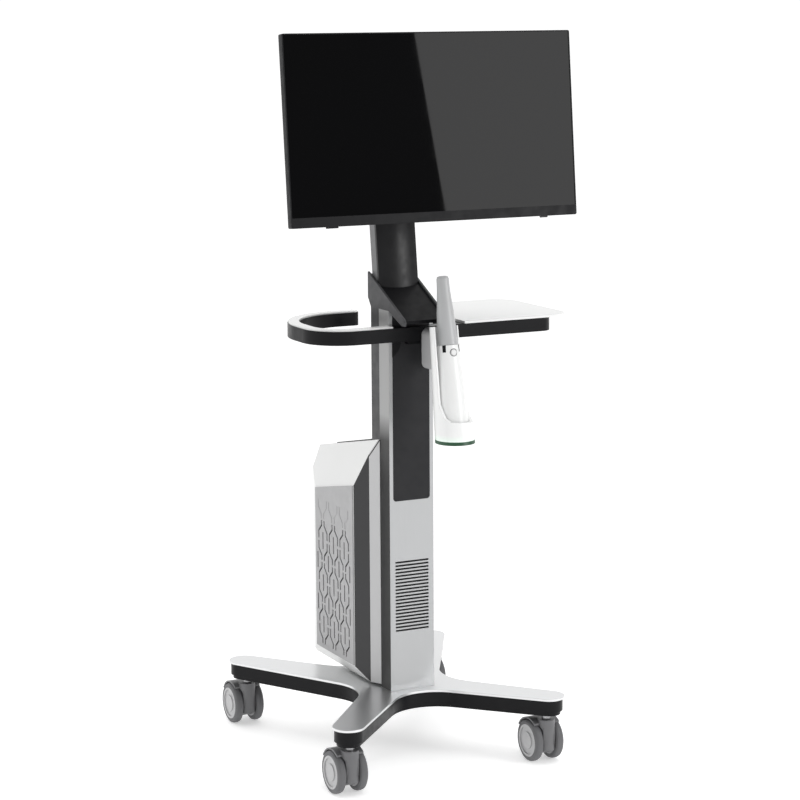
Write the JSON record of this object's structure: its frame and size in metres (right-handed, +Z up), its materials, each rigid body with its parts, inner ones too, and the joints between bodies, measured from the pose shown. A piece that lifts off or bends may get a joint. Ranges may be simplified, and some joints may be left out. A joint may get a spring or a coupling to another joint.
{
  "type": "intraoral camera cart",
  "caption": "Wheeled dental imaging station: casters, base, column with computer, handle, tray, tilting monitor and an intraoral camera in a cradle.",
  "frame": {"origin": "on the floor under the middle of the outside box", "axes": "+X to the station's left-to-right as seen from the front, -Y to the front where the user stands, +Z up"},
  "size_m": [0.584, 0.5575, 1.283],
  "materials": {
    "satin_silver": "satin silver paint",
    "anodised": "satin anodised",
    "dark_channel": "satin dark grey paint",
    "black_plastic": "fine texture",
    "white_plastic": "smooth",
    "grey_plastic": "smooth",
    "light_grey": "fine texture",
    "steel": "brushed",
    "iron": "as cast",
    "tyre": "non-marking grey",
    "hub_grey": "smooth",
    "screen": "glossy",
    "light": "translucent"
  },
  "bodies": {
    "stand": {"base_plate": "satin_silver", "base_rim": "black_plastic", "base_ballast": "iron", "caster_stems": "steel", "column_extrusion": "anodised", "column_channel": "dark_channel", "column_inlay": "black_plastic", "vent_mesh": "black_plastic", "column_bolts": "steel", "console_body": "black_plastic", "console_cheeks": "grey_plastic", "neck_front_cover": "black_plastic", "neck_rear_cover": "grey_plastic", "neck_post": "steel", "handle_ring": "black_plastic", "ring_trim": "white_plastic", "tray_plate": "white_plastic", "tray_bracket": "grey_plastic", "cable_tab": "black_plastic", "housing_shell": "white_plastic", "side_vent_left": "light_grey", "side_vent_right": "light_grey", "housing_back_cover": "dark_channel", "computer_chassis": "steel", "mains_inlet": "black_plastic", "cradle_body": "white_plastic", "cradle_bracket": "light_grey", "cradle_light_ring": "light"},
    "power_button": {"power_button": "anodised"},
    "wand": {"wand_body": "white_plastic", "wand_core": "black_plastic"},
    "wand_tip": {"wand_tip": "light_grey"},
    "wand_button": {"wand_button": "light_grey"},
    "monitor_swivel": {"swivel_head": "dark_channel", "tilt_pin": "steel"},
    "monitor": {"monitor_back": "black_plastic", "monitor_bezel": "black_plastic", "screen_panel": "screen", "monitor_bracket": "steel"},
    "monitor_button": {"monitor_button": "grey_plastic"},
    "caster_fl": {"caster_fl_housing": "grey_plastic"},
    "caster_fl_wheels": {"caster_fl_axle": "steel", "caster_fl_tyres": "tyre", "caster_fl_hubs": "hub_grey"},
    "caster_fl_brake": {"caster_fl_pedal": "light_grey"},
    "caster_fr": {"caster_fr_housing": "grey_plastic"},
    "caster_fr_wheels": {"caster_fr_axle": "steel", "caster_fr_tyres": "tyre", "caster_fr_hubs": "hub_grey"},
    "caster_fr_brake": {"caster_fr_pedal": "light_grey"},
    "caster_rl": {"caster_rl_housing": "grey_plastic"},
    "caster_rl_wheels": {"caster_rl_axle": "steel", "caster_rl_tyres": "tyre", "caster_rl_hubs": "hub_grey"},
    "caster_rl_brake": {"caster_rl_pedal": "light_grey"},
    "caster_rr": {"caster_rr_housing": "grey_plastic"},
    "caster_rr_wheels": {"caster_rr_axle": "steel", "caster_rr_tyres": "tyre", "caster_rr_hubs": "hub_grey"},
    "caster_rr_brake": {"caster_rr_pedal": "light_grey"}
  },
  "joints": [
    {"name": "caster_fl_swivel", "type": "hinge", "parent": "stand", "child": "caster_fl", "pos_m": [-0.214, -0.24775, 0.08], "axis": [0, 0, 1], "continuous": true},
    {"name": "caster_fl_roll", "type": "hinge", "parent": "caster_fl", "child": "caster_fl_wheels", "pos_m": [-0.214, -0.22775, 0.0375], "axis": [1, 0, 0], "continuous": true},
    {"name": "caster_fl_brake", "type": "hinge", "parent": "caster_fl", "child": "caster_fl_brake", "pos_m": [-0.214, -0.19775, 0.0465], "axis": [-1, 0, 0], "range_deg": [0, 15]},
    {"name": "caster_fr_swivel", "type": "hinge", "parent": "stand", "child": "caster_fr", "pos_m": [0.17, -0.24775, 0.08], "axis": [0, 0, 1], "continuous": true},
    {"name": "caster_fr_roll", "type": "hinge", "parent": "caster_fr", "child": "caster_fr_wheels", "pos_m": [0.17, -0.22775, 0.0375], "axis": [1, 0, 0], "continuous": true},
    {"name": "caster_fr_brake", "type": "hinge", "parent": "caster_fr", "child": "caster_fr_brake", "pos_m": [0.17, -0.19775, 0.0465], "axis": [-1, 0, 0], "range_deg": [0, 15]},
    {"name": "caster_rl_swivel", "type": "hinge", "parent": "stand", "child": "caster_rl", "pos_m": [-0.214, 0.20625, 0.08], "axis": [0, 0, 1], "continuous": true},
    {"name": "caster_rl_roll", "type": "hinge", "parent": "caster_rl", "child": "caster_rl_wheels", "pos_m": [-0.214, 0.22625, 0.0375], "axis": [1, 0, 0], "continuous": true},
    {"name": "caster_rl_brake", "type": "hinge", "parent": "caster_rl", "child": "caster_rl_brake", "pos_m": [-0.214, 0.25625, 0.0465], "axis": [-1, 0, 0], "range_deg": [0, 15]},
    {"name": "caster_rr_swivel", "type": "hinge", "parent": "stand", "child": "caster_rr", "pos_m": [0.17, 0.20625, 0.08], "axis": [0, 0, 1], "continuous": true},
    {"name": "caster_rr_roll", "type": "hinge", "parent": "caster_rr", "child": "caster_rr_wheels", "pos_m": [0.17, 0.22625, 0.0375], "axis": [1, 0, 0], "continuous": true},
    {"name": "caster_rr_brake", "type": "hinge", "parent": "caster_rr", "child": "caster_rr_brake", "pos_m": [0.17, 0.25625, 0.0465], "axis": [-1, 0, 0], "range_deg": [0, 15]},
    {"name": "monitor_swivel", "type": "hinge", "parent": "stand", "child": "monitor_swivel", "pos_m": [-0.022, -0.01775, 1.119], "axis": [0, 0, 1], "range_deg": [-45, 45]},
    {"name": "monitor_tilt", "type": "hinge", "parent": "monitor_swivel", "child": "monitor", "pos_m": [-0.022, -0.13978, 1.12095], "axis": [-1, 0, 0], "range_deg": [-8, 15]},
    {"name": "monitor_power", "type": "slide", "parent": "monitor", "child": "monitor_button", "axis": [0, 0.0952, 0.9955], "range_m": [0, 0.0012], "stiffness_N_per_m": 800},
    {"name": "wand_lift", "type": "slide", "parent": "stand", "child": "wand", "axis": [-0.0034, 0.1564, 0.9877], "range_m": [0, 0.1]},
    {"name": "tip_release", "type": "slide", "parent": "wand", "child": "wand_tip", "axis": [-0.0034, 0.1564, 0.9877], "range_m": [0, 0.1]},
    {"name": "wand_trigger", "type": "slide", "parent": "wand", "child": "wand_button", "axis": [0.0005, 0.9877, -0.1564], "range_m": [0, 0.001], "stiffness_N_per_m": 800},
    {"name": "computer_power", "type": "slide", "parent": "stand", "child": "power_button", "axis": [0, -1, 0], "range_m": [0, 0.0012], "stiffness_N_per_m": 800}
  ]
}
